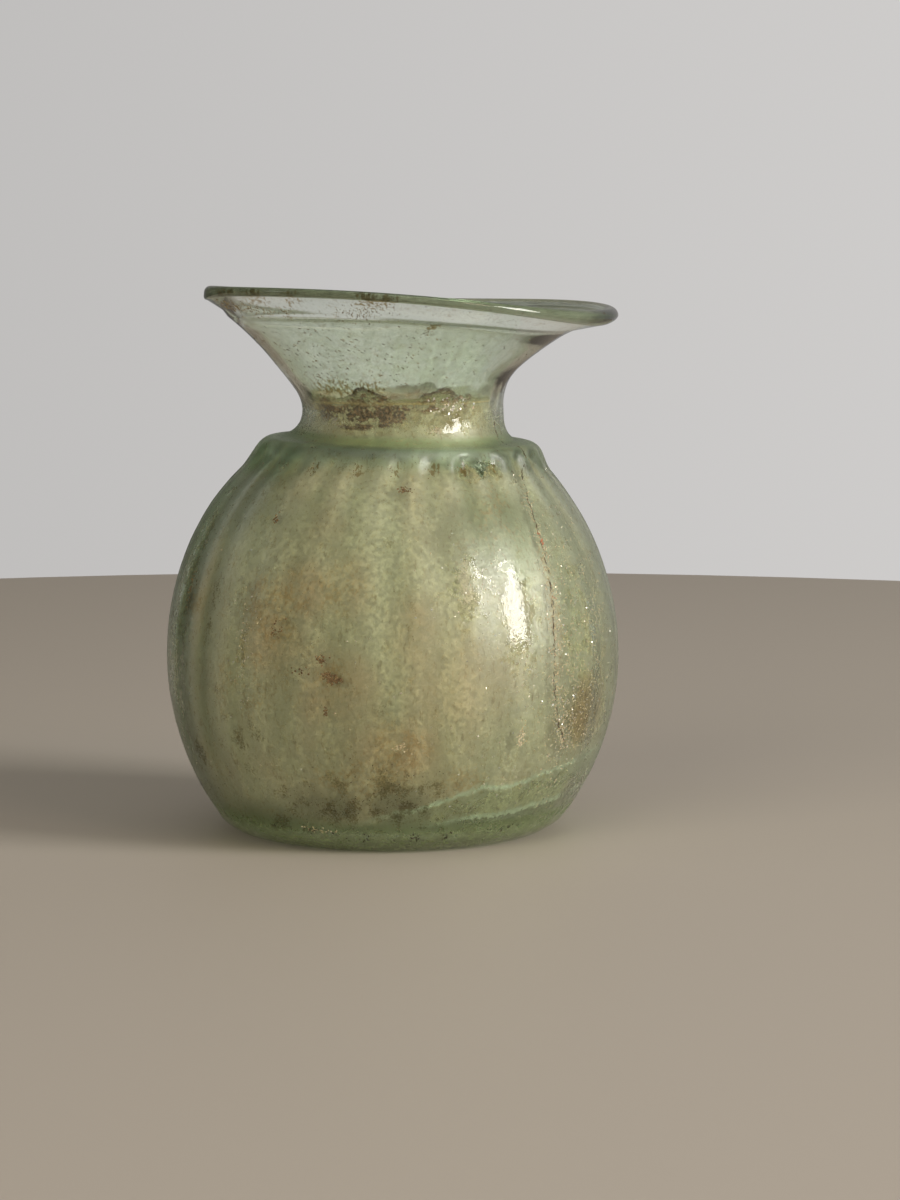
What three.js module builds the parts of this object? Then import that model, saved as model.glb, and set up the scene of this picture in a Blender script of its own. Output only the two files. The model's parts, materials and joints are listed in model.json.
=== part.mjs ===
// An ancient blown-glass vase: a ribbed globular body, a rounded ledge at the shoulder, a short narrow
// neck and a funnel mouth that ends in a thick rounded lip. One hollow piece of glass, open at the top.
// Millimetres, +Z up. The origin is on the ground under the middle of the body, and the front is at -Y.
import * as THREE from "three";

// Body: two half ellipses that meet at its widest ring, cut off at the ground.
const bodyRadius = 40.7;
const widestHeight = 31;
const lowerSpan = 44; // from the widest ring down to where the lower ellipse would close
const upperSpan = 46; // from the widest ring up to where the upper ellipse would close
const bodyWall = 1.8;

// Underside: a flat ring that the vase stands on, round a middle that is pushed up.
const footRadius = 25.8;
const footRingWidth = 4.6;
const footOffset = -0.4; // of the ring, towards +X
const heelHeight = 2.4; // where the rounded heel runs into the body
const heelReach = 2.5; // from the ring out to where the heel turns up
const kickHeight = 2.2; // how far the middle of the underside is pushed up
const floorThickness = 2.8;

// Ledge: the rounded step at the top of the body.
const ledgeHeight = 69.9; // of its crest
const ledgeCrestRadius = 22.9;
const ledgeCornerRadius = 25.9; // of the corner that its crest and its side are rounded from
const ledgeDrop = 5.6; // from its crest down to where the body's curve takes over
const ledgeHandle = 0.4; // how upright its side starts, as a share of the drop
const shoulderSink = 1.4; // how far lower the inside turns in, as a share of the body's wall

// Neck
const neckRadius = 18.2; // outside, at its narrowest
const neckHeight = 75.2; // of its narrowest ring
const neckWall = 2.1;

// Funnel mouth, and the thick lip that turns out of it and ends in a round bead
const funnelRadius = 31.4; // where the lip turns out
const lipRadius = 36.85; // to the outside of the bead
const lipHeight = 95.3; // to the top of the bead, on average round the mouth
const lipRise = 4.15; // from the funnel's end up to the top of the bead
const lipBead = 1.25; // radius of the bead
const funnelWall = 1.6;

// Bend of the funnel: its handles at the neck and at the lip, as shares of its rise and of its flare
const funnelRiseHandle = 0.34;
const funnelFlareHandle = 0.56;
const insideHandleIn = 0.7; // the inside's upper handle, as shares of the wall
const insideHandleUp = 0.5;

// Ribs: the glass was blown in a ribbed mould, and the ribs soften as they run down.
const ribCount = 26;
const ribDepthTop = 1; // in the hollows just under the ledge
const ribDepthWaist = 0.55; // at the widest ring
const ribDepthFoot = 0.2; // at the heel
const ribStart = 2.6; // below the crest of the ledge, where the hollows are full

// Hand work: the upper part stands a little off the body's axis, tilted, and the lip waves.
const swayStart = 12; // below the crest of the ledge, where the body begins to sway
const neckOffset = 1.95; // towards +X
const funnelOffset = -1.25; // from the neck to the funnel
const lipOffset = 2.75; // from the funnel to the lip
const ledgeTilt = THREE.MathUtils.degToRad(1.9); // down towards +X
const lipRoll = THREE.MathUtils.degToRad(3); // down towards +X
const lipPitch = THREE.MathUtils.degToRad(2); // down towards +Y
const lipWave = 0.47; // up and down
const lipWaveCount = 2; // times round the mouth
const lipWavePhase = THREE.MathUtils.degToRad(45);
const lipRipple = 0.33; // up and down
const lipRippleCount = 3; // times round the mouth
const lipRipplePhase = THREE.MathUtils.degToRad(30);

// Fineness of the faceted surface
const facetsPerRib = 4;
const segments = ribCount * facetsPerRib;
const steps = {
  kick: 2,
  heel: 2,
  lowerBody: 4,
  upperBody: 6,
  ledge: 4,
  neck: 3,
  funnel: 4,
  bead: 4,
  insideShoulder: 3,
  insideBody: 3,
  insideHeel: 2,
};

// Radius of a half ellipse, whose widest ring has the given radius, at a height off that ring.
function ellipseRadius(radius, span, offset) {
  return radius * Math.sqrt(1 - (offset / span) ** 2);
}

// Points along a curve without its first one, which the stretch before it has placed.
function stretch(curve, count) {
  return curve.getPoints(count).slice(1);
}

function point(radius, height) {
  return new THREE.Vector2(radius, height);
}

// Part of the upright ellipse round the body, from one height to another.
function bodyStretch(radius, below, above, fromHeight, toHeight, count) {
  const angle = (height) => Math.asin((height - widestHeight) / (height < widestHeight ? below : above));
  const points = [];
  for (let i = 1; i <= count; i++) {
    const a = THREE.MathUtils.lerp(angle(fromHeight), angle(toHeight), i / count);
    points.push(point(radius * Math.cos(a), widestHeight + (a < 0 ? below : above) * Math.sin(a)));
  }
  return points;
}

// Side of the funnel from the neck's narrowest ring up to where the lip turns out.
function funnelCurve(wall, thinning) {
  const rise = lipHeight - lipRise - neckHeight;
  const flare = funnelRadius - neckRadius;
  const funnelEnd = lipHeight - lipRise;
  const up = rise * funnelRiseHandle;
  const across = flare * funnelFlareHandle;
  const slope = Math.atan2(up, across);
  return new THREE.CubicBezierCurve(
    point(neckRadius - wall, neckHeight),
    point(neckRadius - wall, neckHeight + up),
    point(funnelRadius - across - wall * insideHandleIn, funnelEnd - up + wall * insideHandleUp),
    point(funnelRadius - thinning * Math.sin(slope), funnelEnd + thinning * Math.cos(slope)),
  );
}

// Outline of the outside, from the middle of the underside up to the funnel's end.
function outsideOutline() {
  const ringInside = footRadius - footRingWidth;
  const heelRadius = ellipseRadius(bodyRadius, lowerSpan, widestHeight - heelHeight);
  const sideFoot = ledgeHeight - ledgeDrop;
  const sideFootRadius = ellipseRadius(bodyRadius, upperSpan, sideFoot - widestHeight);
  const crest = point(ledgeCrestRadius, ledgeHeight);
  return [
    point(0, kickHeight),
    ...stretch(
      new THREE.QuadraticBezierCurve(
        point(0, kickHeight),
        point(ringInside / 2, kickHeight),
        point(ringInside, 0),
      ),
      steps.kick,
    ),
    point(footRadius, 0),
    ...stretch(
      new THREE.QuadraticBezierCurve(
        point(footRadius, 0),
        point(footRadius + heelReach, 0),
        point(heelRadius, heelHeight),
      ),
      steps.heel,
    ),
    ...bodyStretch(bodyRadius, lowerSpan, upperSpan, heelHeight, widestHeight, steps.lowerBody),
    ...bodyStretch(bodyRadius, lowerSpan, upperSpan, widestHeight, sideFoot, steps.upperBody),
    ...stretch(
      new THREE.CubicBezierCurve(
        point(sideFootRadius, sideFoot),
        point(ledgeCornerRadius, sideFoot + ledgeDrop * ledgeHandle),
        point(ledgeCornerRadius, ledgeHeight),
        crest,
      ),
      steps.ledge,
    ),
    ...stretch(
      new THREE.QuadraticBezierCurve(
        crest,
        point(neckRadius, ledgeHeight),
        point(neckRadius, neckHeight),
      ),
      steps.neck,
    ),
    ...stretch(funnelCurve(0, 0), steps.funnel),
  ];
}

// Outline of the lip's bead, from its underside over its top.
function beadOutline() {
  const start = THREE.MathUtils.degToRad(-90);
  const end = THREE.MathUtils.degToRad(120);
  const middle = point(lipRadius - lipBead, lipHeight - lipBead);
  const curve = new THREE.EllipseCurve(middle.x, middle.y, lipBead, lipBead, start, end);
  return curve.getPoints(steps.bead);
}

// Outline of the inside, from the funnel's top down to the middle of the floor.
function insideOutline() {
  const innerNeck = neckRadius - neckWall;
  const innerRadius = bodyRadius - bodyWall;
  const below = lowerSpan - bodyWall;
  const above = upperSpan - bodyWall;
  const shoulderHeight = ledgeHeight - ledgeDrop - bodyWall * shoulderSink;
  const shoulderRadius = ellipseRadius(innerRadius, above, shoulderHeight - widestHeight);
  const cornerHeight = heelHeight + floorThickness;
  const cornerRadius = ellipseRadius(innerRadius, below, widestHeight - cornerHeight);
  return [
    ...funnelCurve(neckWall, funnelWall).getPoints(steps.funnel).reverse(),
    ...stretch(
      new THREE.CubicBezierCurve(
        point(innerNeck, neckHeight),
        point(innerNeck, ledgeHeight - neckWall / 2),
        point((innerNeck + shoulderRadius) / 2, ledgeHeight - ledgeDrop + bodyWall),
        point(shoulderRadius, shoulderHeight),
      ),
      steps.insideShoulder,
    ),
    ...bodyStretch(innerRadius, below, above, shoulderHeight, widestHeight, steps.insideBody),
    ...bodyStretch(innerRadius, below, above, widestHeight, cornerHeight, steps.insideBody),
    ...stretch(
      new THREE.QuadraticBezierCurve(
        point(cornerRadius, cornerHeight),
        point(footRadius, floorThickness),
        point(footRadius - footRingWidth, floorThickness),
      ),
      steps.insideHeel,
    ),
    point(0, kickHeight + floorThickness),
  ];
}

// How deep the hollows between the ribs are at a height.
function ribDepth(height) {
  const top = ledgeHeight - ribStart;
  const fadeIn = 1 - THREE.MathUtils.smoothstep(height, top, ledgeHeight);
  const pit = THREE.MathUtils.smoothstep(height, top - ledgeDrop, top);
  const side = ribDepthWaist + (ribDepthTop - ribDepthWaist) * pit;
  const foot = THREE.MathUtils.smoothstep(height, 0, widestHeight);
  const onHeel = THREE.MathUtils.smoothstep(height, 0, heelHeight);
  return fadeIn * (ribDepthFoot * (1 - foot) + side * foot) * onHeel;
}

// Moves a point of the upright, round vase to where the glassblower's hand left it.
function settle(place) {
  const rampUp = THREE.MathUtils.smoothstep;
  const funnelEnd = lipHeight - lipRise;
  const onFoot = 1 - rampUp(place.z, 0, heelHeight + floorThickness);
  const onNeck = rampUp(place.z, ledgeHeight - swayStart, neckHeight);
  const onLedge = onNeck * (1 - rampUp(place.z, ledgeHeight, neckHeight));
  const onFunnel = rampUp(place.z, neckHeight, (neckHeight + funnelEnd) / 2);
  const onMouth = rampUp(place.z, neckHeight, funnelEnd);
  const onLip = rampUp(place.z, funnelEnd - lipBead, lipHeight - lipBead);
  const turn = Math.atan2(place.y, place.x);
  const wave = lipWave * Math.cos(lipWaveCount * (turn - lipWavePhase));
  const ripple = lipRipple * Math.cos(lipRippleCount * (turn - lipRipplePhase));
  const lipSink = place.x * Math.tan(lipRoll) + place.y * Math.tan(lipPitch);
  place.z += (wave + ripple - lipSink) * onMouth - place.x * Math.tan(ledgeTilt) * onLedge;
  place.x += footOffset * onFoot + neckOffset * onNeck + funnelOffset * onFunnel + lipOffset * onLip;
}

function vaseGeometry() {
  const outside = outsideOutline();
  const outline = [...outside, ...beadOutline(), ...insideOutline()];
  const geometry = new THREE.LatheGeometry(outline, segments);
  geometry.rotateX(Math.PI / 2);
  const positions = geometry.getAttribute("position");
  const place = new THREE.Vector3();
  for (let i = 0; i < positions.count; i++) {
    place.fromBufferAttribute(positions, i);
    const segment = Math.floor(i / outline.length);
    const station = i % outline.length;
    const { x: radius, y: height } = outline[station];
    if (station < outside.length && radius > neckRadius) {
      const hollow = (1 + Math.cos((2 * Math.PI * segment) / facetsPerRib)) / 2;
      const shrink = 1 - (ribDepth(height) * hollow) / radius;
      place.x *= shrink;
      place.y *= shrink;
    }
    settle(place);
    positions.setXYZ(i, place.x, place.y, place.z);
  }
  return geometry;
}

const glass = new THREE.MeshStandardMaterial({
  color: 0x9aa884,
  roughness: 0.25,
  metalness: 0,
});

const vase = new THREE.Mesh(vaseGeometry(), glass);
vase.name = "glass_vase";

const group = new THREE.Group();
group.add(vase);
export default group;
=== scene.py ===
import json
import math
import random

import bmesh
import bpy
from mathutils import Matrix, Vector, noise
from mathutils.bvhtree import BVHTree
from mathutils.geometry import interpolate_bezier

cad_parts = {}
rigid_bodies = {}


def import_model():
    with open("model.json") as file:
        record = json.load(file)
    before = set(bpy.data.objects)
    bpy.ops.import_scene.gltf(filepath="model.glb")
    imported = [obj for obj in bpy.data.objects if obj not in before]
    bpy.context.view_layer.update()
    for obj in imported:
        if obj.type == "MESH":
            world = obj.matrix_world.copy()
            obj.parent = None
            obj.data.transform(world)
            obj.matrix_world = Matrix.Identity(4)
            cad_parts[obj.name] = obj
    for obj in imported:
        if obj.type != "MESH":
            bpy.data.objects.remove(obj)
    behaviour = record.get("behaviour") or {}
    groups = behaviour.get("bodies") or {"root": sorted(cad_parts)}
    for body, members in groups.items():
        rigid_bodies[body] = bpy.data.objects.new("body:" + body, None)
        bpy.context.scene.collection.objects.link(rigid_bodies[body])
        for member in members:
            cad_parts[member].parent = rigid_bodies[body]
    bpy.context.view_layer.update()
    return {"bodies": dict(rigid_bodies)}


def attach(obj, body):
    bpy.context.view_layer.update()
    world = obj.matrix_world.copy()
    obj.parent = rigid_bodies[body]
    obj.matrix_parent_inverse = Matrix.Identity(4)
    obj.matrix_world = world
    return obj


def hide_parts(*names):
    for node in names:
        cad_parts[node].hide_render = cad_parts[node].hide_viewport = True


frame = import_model()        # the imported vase, one solid on one body
scene = bpy.context.scene
body = next(iter(frame["bodies"]))
mm = 0.001

# The sizes of the solid, in millimetres, that the fine glass and all that sits on it are worked out from.
vase = {
    "bodyRadius": 40.7, "widestHeight": 31, "lowerSpan": 44, "upperSpan": 46, "bodyWall": 1.8,
    "footRadius": 25.8, "footRingWidth": 4.6, "footOffset": -0.4, "heelHeight": 2.4, "heelReach": 2.5,
    "kickHeight": 2.2, "floorThickness": 2.8,
    "ledgeHeight": 69.9, "ledgeCrestRadius": 22.9, "ledgeCornerRadius": 25.9, "ledgeDrop": 5.6,
    "neckRadius": 18.2, "neckHeight": 75.2, "neckWall": 2.1,
    "funnelRadius": 31.4, "lipRadius": 36.85, "lipHeight": 95.3, "lipRise": 4.15, "lipBead": 1.25,
    "funnelWall": 1.6,
    "ribCount": 26, "ribDepthTop": 1.0, "ribDepthWaist": 0.55, "ribDepthFoot": 0.2, "ribStart": 2.6,
    "swayStart": 12, "neckOffset": 1.95, "funnelOffset": -1.25, "lipOffset": 2.75,
    "ledgeTilt": 1.9, "lipRoll": 3.0, "lipPitch": 2.0,
    "lipWave": 0.47, "lipWavePhase": 45, "lipRipple": 0.33, "lipRipplePhase": 30,
}

funnelEnd = vase["lipHeight"] - vase["lipRise"]


# Small helpers for shapes

def smooth(value, low, high):
    share = min(max((value - low) / (high - low), 0.0), 1.0)
    return share * share * (3 - 2 * share)


def spot(radius, height):
    return Vector((radius, 0.0, height))


def cubic(start, first, second, end, steps):
    return interpolate_bezier(start, first, second, end, steps + 1)[1:]


def quadratic(start, handle, end, steps):
    return cubic(start, start.lerp(handle, 2 / 3), end.lerp(handle, 2 / 3), end, steps)


def ellipseRadius(radius, span, offset):
    return radius * math.sqrt(1 - (offset / span) ** 2)


# Part of the upright ellipse round the body, from one height to another.
def bodyArc(inset, low, high, steps):
    radius = vase["bodyRadius"] - inset
    below, above = vase["lowerSpan"] - inset, vase["upperSpan"] - inset
    middle = vase["widestHeight"]
    angles = [math.asin((h - middle) / (below if h < middle else above)) for h in (low, high)]
    line = []
    for i in range(1, steps + 1):
        a = angles[0] + (angles[1] - angles[0]) * i / steps
        line.append(spot(radius * math.cos(a), middle + (below if a < 0 else above) * math.sin(a)))
    return line


def funnelLine(wall, thinning, steps):
    rise = funnelEnd - vase["neckHeight"]
    flare = vase["funnelRadius"] - vase["neckRadius"]
    slope = math.atan2(rise * 0.34, flare * 0.56)
    start = spot(vase["neckRadius"] - wall, vase["neckHeight"])
    return [start] + cubic(
        start,
        spot(start.x, vase["neckHeight"] + rise * 0.34),
        spot(vase["neckRadius"] + flare * 0.44 - wall * 0.7, vase["neckHeight"] + rise * 0.66 + wall * 0.5),
        spot(vase["funnelRadius"] - thinning * math.sin(slope), funnelEnd + thinning * math.cos(slope)),
        steps)


# The outside's outline, from the middle of the underside up to the funnel's end.
def outsideLine():
    v = vase
    ringInside = v["footRadius"] - v["footRingWidth"]
    heel = spot(ellipseRadius(v["bodyRadius"], v["lowerSpan"], v["widestHeight"] - v["heelHeight"]), v["heelHeight"])
    sideFoot = v["ledgeHeight"] - v["ledgeDrop"]
    side = spot(ellipseRadius(v["bodyRadius"], v["upperSpan"], sideFoot - v["widestHeight"]), sideFoot)
    crest = spot(v["ledgeCrestRadius"], v["ledgeHeight"])
    middle = spot(0, v["kickHeight"])
    ring = spot(v["footRadius"], 0)
    line = [middle] + quadratic(middle, spot(ringInside / 2, v["kickHeight"]), spot(ringInside, 0), 6)
    line += [line[-1].lerp(ring, 0.5), ring]
    line += quadratic(ring, spot(v["footRadius"] + v["heelReach"], 0), heel, 6)
    line += bodyArc(0, v["heelHeight"], v["widestHeight"], 26)
    line += bodyArc(0, v["widestHeight"], sideFoot, 34)
    line += cubic(side, spot(v["ledgeCornerRadius"], sideFoot + v["ledgeDrop"] * 0.4),
                  spot(v["ledgeCornerRadius"], v["ledgeHeight"]), crest, 16)
    line += quadratic(crest, spot(v["neckRadius"], v["ledgeHeight"]), spot(v["neckRadius"], v["neckHeight"]), 10)
    return line + funnelLine(0, 0, 16)[1:]


def beadLine():
    bead = vase["lipBead"] - handWork["skin"]
    centre = spot(vase["lipRadius"] - vase["lipBead"], vase["lipHeight"] - vase["lipBead"])
    angles = [math.radians(-90 + 210 * i / 14) for i in range(15)]
    return [centre + spot(bead * math.cos(a), bead * math.sin(a)) for a in angles]


# The inside's outline, from the funnel's top down to the middle of the floor.
def insideLine():
    v = vase
    innerNeck = v["neckRadius"] - v["neckWall"]
    shoulderHeight = v["ledgeHeight"] - v["ledgeDrop"] - v["bodyWall"] * 2
    shoulder = bodyArc(v["bodyWall"], v["widestHeight"], shoulderHeight, 1)[0]
    cornerHeight = v["heelHeight"] + v["floorThickness"]
    crest = spot(v["ledgeCrestRadius"] - v["neckWall"], v["ledgeHeight"] - v["neckWall"])
    line = funnelLine(v["neckWall"], v["funnelWall"], 14)[::-1]
    line += quadratic(spot(innerNeck, v["neckHeight"]), spot(innerNeck, crest.z), crest, 9)
    line += cubic(crest, crest + spot(v["ledgeDrop"] * 0.5, 0), shoulder + spot(-2.6, v["ledgeDrop"] * 0.7),
                  shoulder, 9)
    line += bodyArc(v["bodyWall"], shoulderHeight, v["widestHeight"], 16)
    line += bodyArc(v["bodyWall"], v["widestHeight"], cornerHeight, 14)
    line += quadratic(line[-1], spot(v["footRadius"], v["floorThickness"]),
                      spot(v["footRadius"] - v["footRingWidth"], v["floorThickness"]), 6)
    floorMiddle = spot(0, v["kickHeight"] + v["floorThickness"])
    return line + [line[-1].lerp(floorMiddle, i / 4) for i in range(1, 5)]


# A line moved sideways: out of the glass, whichever of its two sides the line runs on.
def offsetLine(line, distance):
    moved = []
    for i, here in enumerate(line):
        along = (line[min(i + 1, len(line) - 1)] - line[max(i - 1, 0)]).normalized()
        there = here + Vector((along.z, 0, -along.x)) * distance
        if here.x < 1e-6:
            there.x = 0
        moved.append(there)
    return moved


# How deep the hollows between the ribs are at a height.
def ribDepth(height):
    v = vase
    top = v["ledgeHeight"] - v["ribStart"]
    fadeIn = 1 - smooth(height, top, v["ledgeHeight"])
    pit = smooth(height, top - v["ledgeDrop"], top)
    side = v["ribDepthWaist"] + (v["ribDepthTop"] - v["ribDepthWaist"]) * pit
    foot = smooth(height, 0, v["widestHeight"])
    return fadeIn * (v["ribDepthFoot"] * (1 - foot) + side * foot) * smooth(height, 0, v["heelHeight"])


# Moves a point of the upright, round vase to where the glassblower's hand left it.
def settle(place):
    v = vase
    x, y, z = place
    onFoot = 1 - smooth(z, 0, v["heelHeight"] + v["floorThickness"])
    onNeck = smooth(z, v["ledgeHeight"] - v["swayStart"], v["neckHeight"])
    onLedge = onNeck * (1 - smooth(z, v["ledgeHeight"], v["neckHeight"]))
    onFunnel = smooth(z, v["neckHeight"], (v["neckHeight"] + funnelEnd) / 2)
    onMouth = smooth(z, v["neckHeight"], funnelEnd)
    onLip = smooth(z, funnelEnd - v["lipBead"], v["lipHeight"] - v["lipBead"])
    turn = math.atan2(y, x)
    wave = v["lipWave"] * math.cos(2 * (turn - math.radians(v["lipWavePhase"])))
    ripple = v["lipRipple"] * math.cos(3 * (turn - math.radians(v["lipRipplePhase"])))
    sink = x * math.tan(math.radians(v["lipRoll"])) + y * math.tan(math.radians(v["lipPitch"]))
    tilt = x * math.tan(math.radians(v["ledgeTilt"]))
    shift = v["footOffset"] * onFoot + v["neckOffset"] * onNeck + v["funnelOffset"] * onFunnel
    return Vector((x + shift + v["lipOffset"] * onLip, y, z + (wave + ripple - sink) * onMouth - tilt * onLedge))


# Hand work too fine for the solid: uneven ribs and a wavy surface, always a little inside the solid's own.
handWork = {
    "skin": 0.1,             # the fine glass stays this far inside the solid
    "ribUneven": 0.35,       # share by which one rib's hollow differs from the next
    "ribLean": 0.12,         # how far a rib wanders sideways, as a share of its width
    "ribInside": 0.8,        # how much of each rib shows on the inside
    "ribWorn": [(20, 75, 0.6), (34, 13, 0.28)],  # azimuth, width, and the share of the ribs' depth that is lost there
    "wave": 0.16, "waveSize": 13.0,            # slow waves in the wall
    "dimple": 0.05, "dimpleSize": 4.5,         # small ones
    "neckDimple": 0.2, "neckDimpleSize": 2.4,  # round the neck, where the glass was nipped in
    "beadThin": 0.68,        # the lip's bead in front, as a share of the solid's
    "beadFat": [(78, 42, 0.58), (-92, 26, 0.42), (180, 60, 0.1)],  # azimuth, width, and what it gains there
    "seed": 11,
}
dice = random.Random(handWork["seed"])
ribShare = [1 + handWork["ribUneven"] * dice.uniform(-1, 1) for _ in range(vase["ribCount"])]
ribLean = [handWork["ribLean"] * dice.uniform(-1, 1) for _ in range(vase["ribCount"])]


# Degrees from the front to the right, and how far one azimuth is from another.
def azimuthOf(place):
    return math.degrees(math.atan2(place.x, -place.y))


def apart(azimuth, other):
    return (azimuth - other + 180) % 360 - 180


def waves(place, size, seed):
    return 0.5 + 0.5 * noise.noise(place / size + Vector((seed, 0, 0)))


# 1 in the middle of a hollow between two ribs, 0 on a crest.
def ribHollow(azimuth, height):
    around = azimuth / 360 * vase["ribCount"]
    rib = round(around) % vase["ribCount"]
    hollow = (1 + math.cos(2 * math.pi * (around + ribLean[rib] * smooth(height, 20, 60)))) / 2 * ribShare[rib]
    worn = sum(share * math.exp(-(apart(azimuth, middle) / wide) ** 2) for middle, wide, share in handWork["ribWorn"])
    return hollow * (1 - worn * (1 - smooth(height, 56, 65)))


def shapeBead(place, radius):
    azimuth = azimuthOf(place)
    share = handWork["beadThin"]
    for middle, wide, more in handWork["beadFat"]:
        share += more * math.exp(-(apart(azimuth, middle) / wide) ** 2)
    edge = vase["lipRadius"] - handWork["skin"]
    top = vase["lipHeight"] - handWork["skin"]
    grown = (edge + (radius - edge) * share) / radius
    return Vector((place.x * grown, place.y * grown, top + (place.z - top) * share))


def shapeWall(bm, outside, bead=None):
    h = handWork
    for v in bm.verts:
        place = v.co.copy()
        radius = math.hypot(place.x, place.y)
        if bead and v[bead] > 0.5:
            place = shapeBead(place, radius)
        elif radius > 1e-6:
            fade = smooth(place.z, 0.5, 6) * (1 - smooth(place.z, funnelEnd - 3, funnelEnd))
            depth = h["wave"] * waves(place, h["waveSize"], 3) + h["dimple"] * waves(place, h["dimpleSize"], 7)
            onNeck = smooth(place.z, 70, 73) * (1 - smooth(place.z, 78, 83))
            depth = fade * (depth + onNeck * h["neckDimple"] * waves(place, h["neckDimpleSize"], 9))
            rib = 0.0
            if radius > vase["neckRadius"] and place.z < vase["ledgeHeight"]:
                rib = ribDepth(place.z) * min(ribHollow(azimuthOf(place), place.z), 1.3)
            if v[outside] > 0.5:
                depth += h["skin"] + rib
            else:
                depth = depth * 0.6 + rib * h["ribInside"]
            place.x *= 1 - depth / radius
            place.y *= 1 - depth / radius
        v.co = settle(place)


# Spins lines round the vase's axis into a skin. The last point joins the first, or both lie on the axis.
def spinLine(parts, segments, loop):
    bm = bmesh.new()
    outside = bm.verts.layers.float.new("outside")
    bead = bm.verts.layers.float.new("bead")
    verts = []
    for line, side, onBead in parts:
        for place in line:
            v = bm.verts.new(place)
            v[outside] = side
            v[bead] = onBead
            verts.append(v)
    edges = [bm.edges.new(pair) for pair in zip(verts, verts[1:])]
    if loop:
        edges.append(bm.edges.new((verts[-1], verts[0])))
    bmesh.ops.spin(bm, geom=verts + edges, cent=(0, 0, 0), axis=(0, 0, 1), dvec=(0, 0, 0),
                   angle=2 * math.pi, steps=segments, use_merge=True, use_duplicate=False)
    bmesh.ops.remove_doubles(bm, verts=bm.verts, dist=1e-5)
    bmesh.ops.recalc_face_normals(bm, faces=bm.faces)
    return bm, outside, bead


def paint(bm, name, amount):
    layer = bm.verts.layers.float.new(name)
    for v in bm.verts:
        v[layer] = amount(azimuthOf(v.co), v.co.z)


# Strongest of some soft oval marks at one place; each is (azimuth, height, width, tall, strength).
def markAt(marks, azimuth, height):
    best = 0.0
    for middle, level, wide, tall, strength in marks:
        away = math.hypot(apart(azimuth, middle) / wide, (height - level) / tall)
        best = max(best, strength * (1 - smooth(away, 0.3, 1.0)))
    return best


# Crumbs and rings are made in small meshes of their own, which keeps the operators quick.
def startBatch():
    batch = bmesh.new()
    return batch, batch.verts.layers.float.new("tone")


def endBatch(whole, batch):
    mesh = bpy.data.meshes.new("batch")
    batch.to_mesh(mesh)
    batch.free()
    whole.from_mesh(mesh)
    bpy.data.meshes.remove(mesh)


def makePiece(name, bm, material, rounded=True):
    bmesh.ops.scale(bm, vec=(mm, mm, mm), verts=bm.verts)
    mesh = bpy.data.meshes.new(name)
    bm.to_mesh(mesh)
    bm.free()
    mesh.materials.append(material)
    mesh.polygons.foreach_set("use_smooth", [rounded] * len(mesh.polygons))
    piece = bpy.data.objects.new(name, mesh)
    scene.collection.objects.link(piece)
    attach(piece, body)
    print(f"{name}: {sum(len(p.vertices) - 2 for p in mesh.polygons)} triangles")
    return piece


# Small helpers for materials

def addNode(tree, kind, inputs=None, **settings):
    made = tree.nodes.new(kind)
    for name, value in settings.items():
        setattr(made, name, value)
    for name, value in (inputs or {}).items():
        if isinstance(value, bpy.types.NodeSocket):
            tree.links.new(value, made.inputs[name])
        else:
            made.inputs[name].default_value = value
    return made


def maths(tree, operation, first, second=0.0, clamp=False):
    return addNode(tree, "ShaderNodeMath", {0: first, 1: second}, operation=operation, use_clamp=clamp).outputs[0]


def span(tree, value, low, high, start=0.0, end=1.0):
    made = addNode(tree, "ShaderNodeMapRange", {"Value": value, "From Min": low, "From Max": high,
                                                "To Min": start, "To Max": end}, interpolation_type="SMOOTHSTEP")
    return made.outputs["Result"]


def blendColour(tree, share, first, second):
    def full(colour):
        return colour if isinstance(colour, bpy.types.NodeSocket) else (*colour, 1.0)
    made = addNode(tree, "ShaderNodeMix", {0: share, 6: full(first), 7: full(second)}, data_type="RGBA")
    return made.outputs[2]


def newMaterial(name):
    material = bpy.data.materials.new(name)
    material.use_nodes = True
    tree = material.node_tree
    tree.nodes.clear()
    return material, tree, tree.nodes.new("ShaderNodeOutputMaterial")


def newGroup(name, inputs, output):
    group = bpy.data.node_groups.new(name, "ShaderNodeTree")
    for label, value in inputs.items():
        socket = group.interface.new_socket(name=label, in_out="INPUT", socket_type="NodeSocketFloat")
        socket.default_value = value
    group.interface.new_socket(name=output, in_out="OUTPUT", socket_type="NodeSocketFloat")
    return group, group.nodes.new("NodeGroupInput").outputs, group.nodes.new("NodeGroupOutput").inputs[output]


# Object coordinates in millimetres, turned about +Y, squeezed upwards by the stretch and divided by the size.
def patternPlace(tree, size, stretch, turn, seed):
    place = addNode(tree, "ShaderNodeTexCoord").outputs["Object"]
    turned = addNode(tree, "ShaderNodeVectorRotate", {"Vector": place, "Angle": turn}, rotation_type="Y_AXIS")
    parts = addNode(tree, "ShaderNodeSeparateXYZ", {0: turned.outputs[0]}).outputs
    unit = maths(tree, "DIVIDE", 1 / mm, size)
    upright = maths(tree, "DIVIDE", unit, stretch)
    x = maths(tree, "MULTIPLY", parts[0], unit)
    y = maths(tree, "MULTIPLY", parts[1], unit)
    z = maths(tree, "MULTIPLY", parts[2], upright)
    return addNode(tree, "ShaderNodeCombineXYZ", {0: maths(tree, "ADD", x, seed), 1: y, 2: z}).outputs[0]


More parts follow.
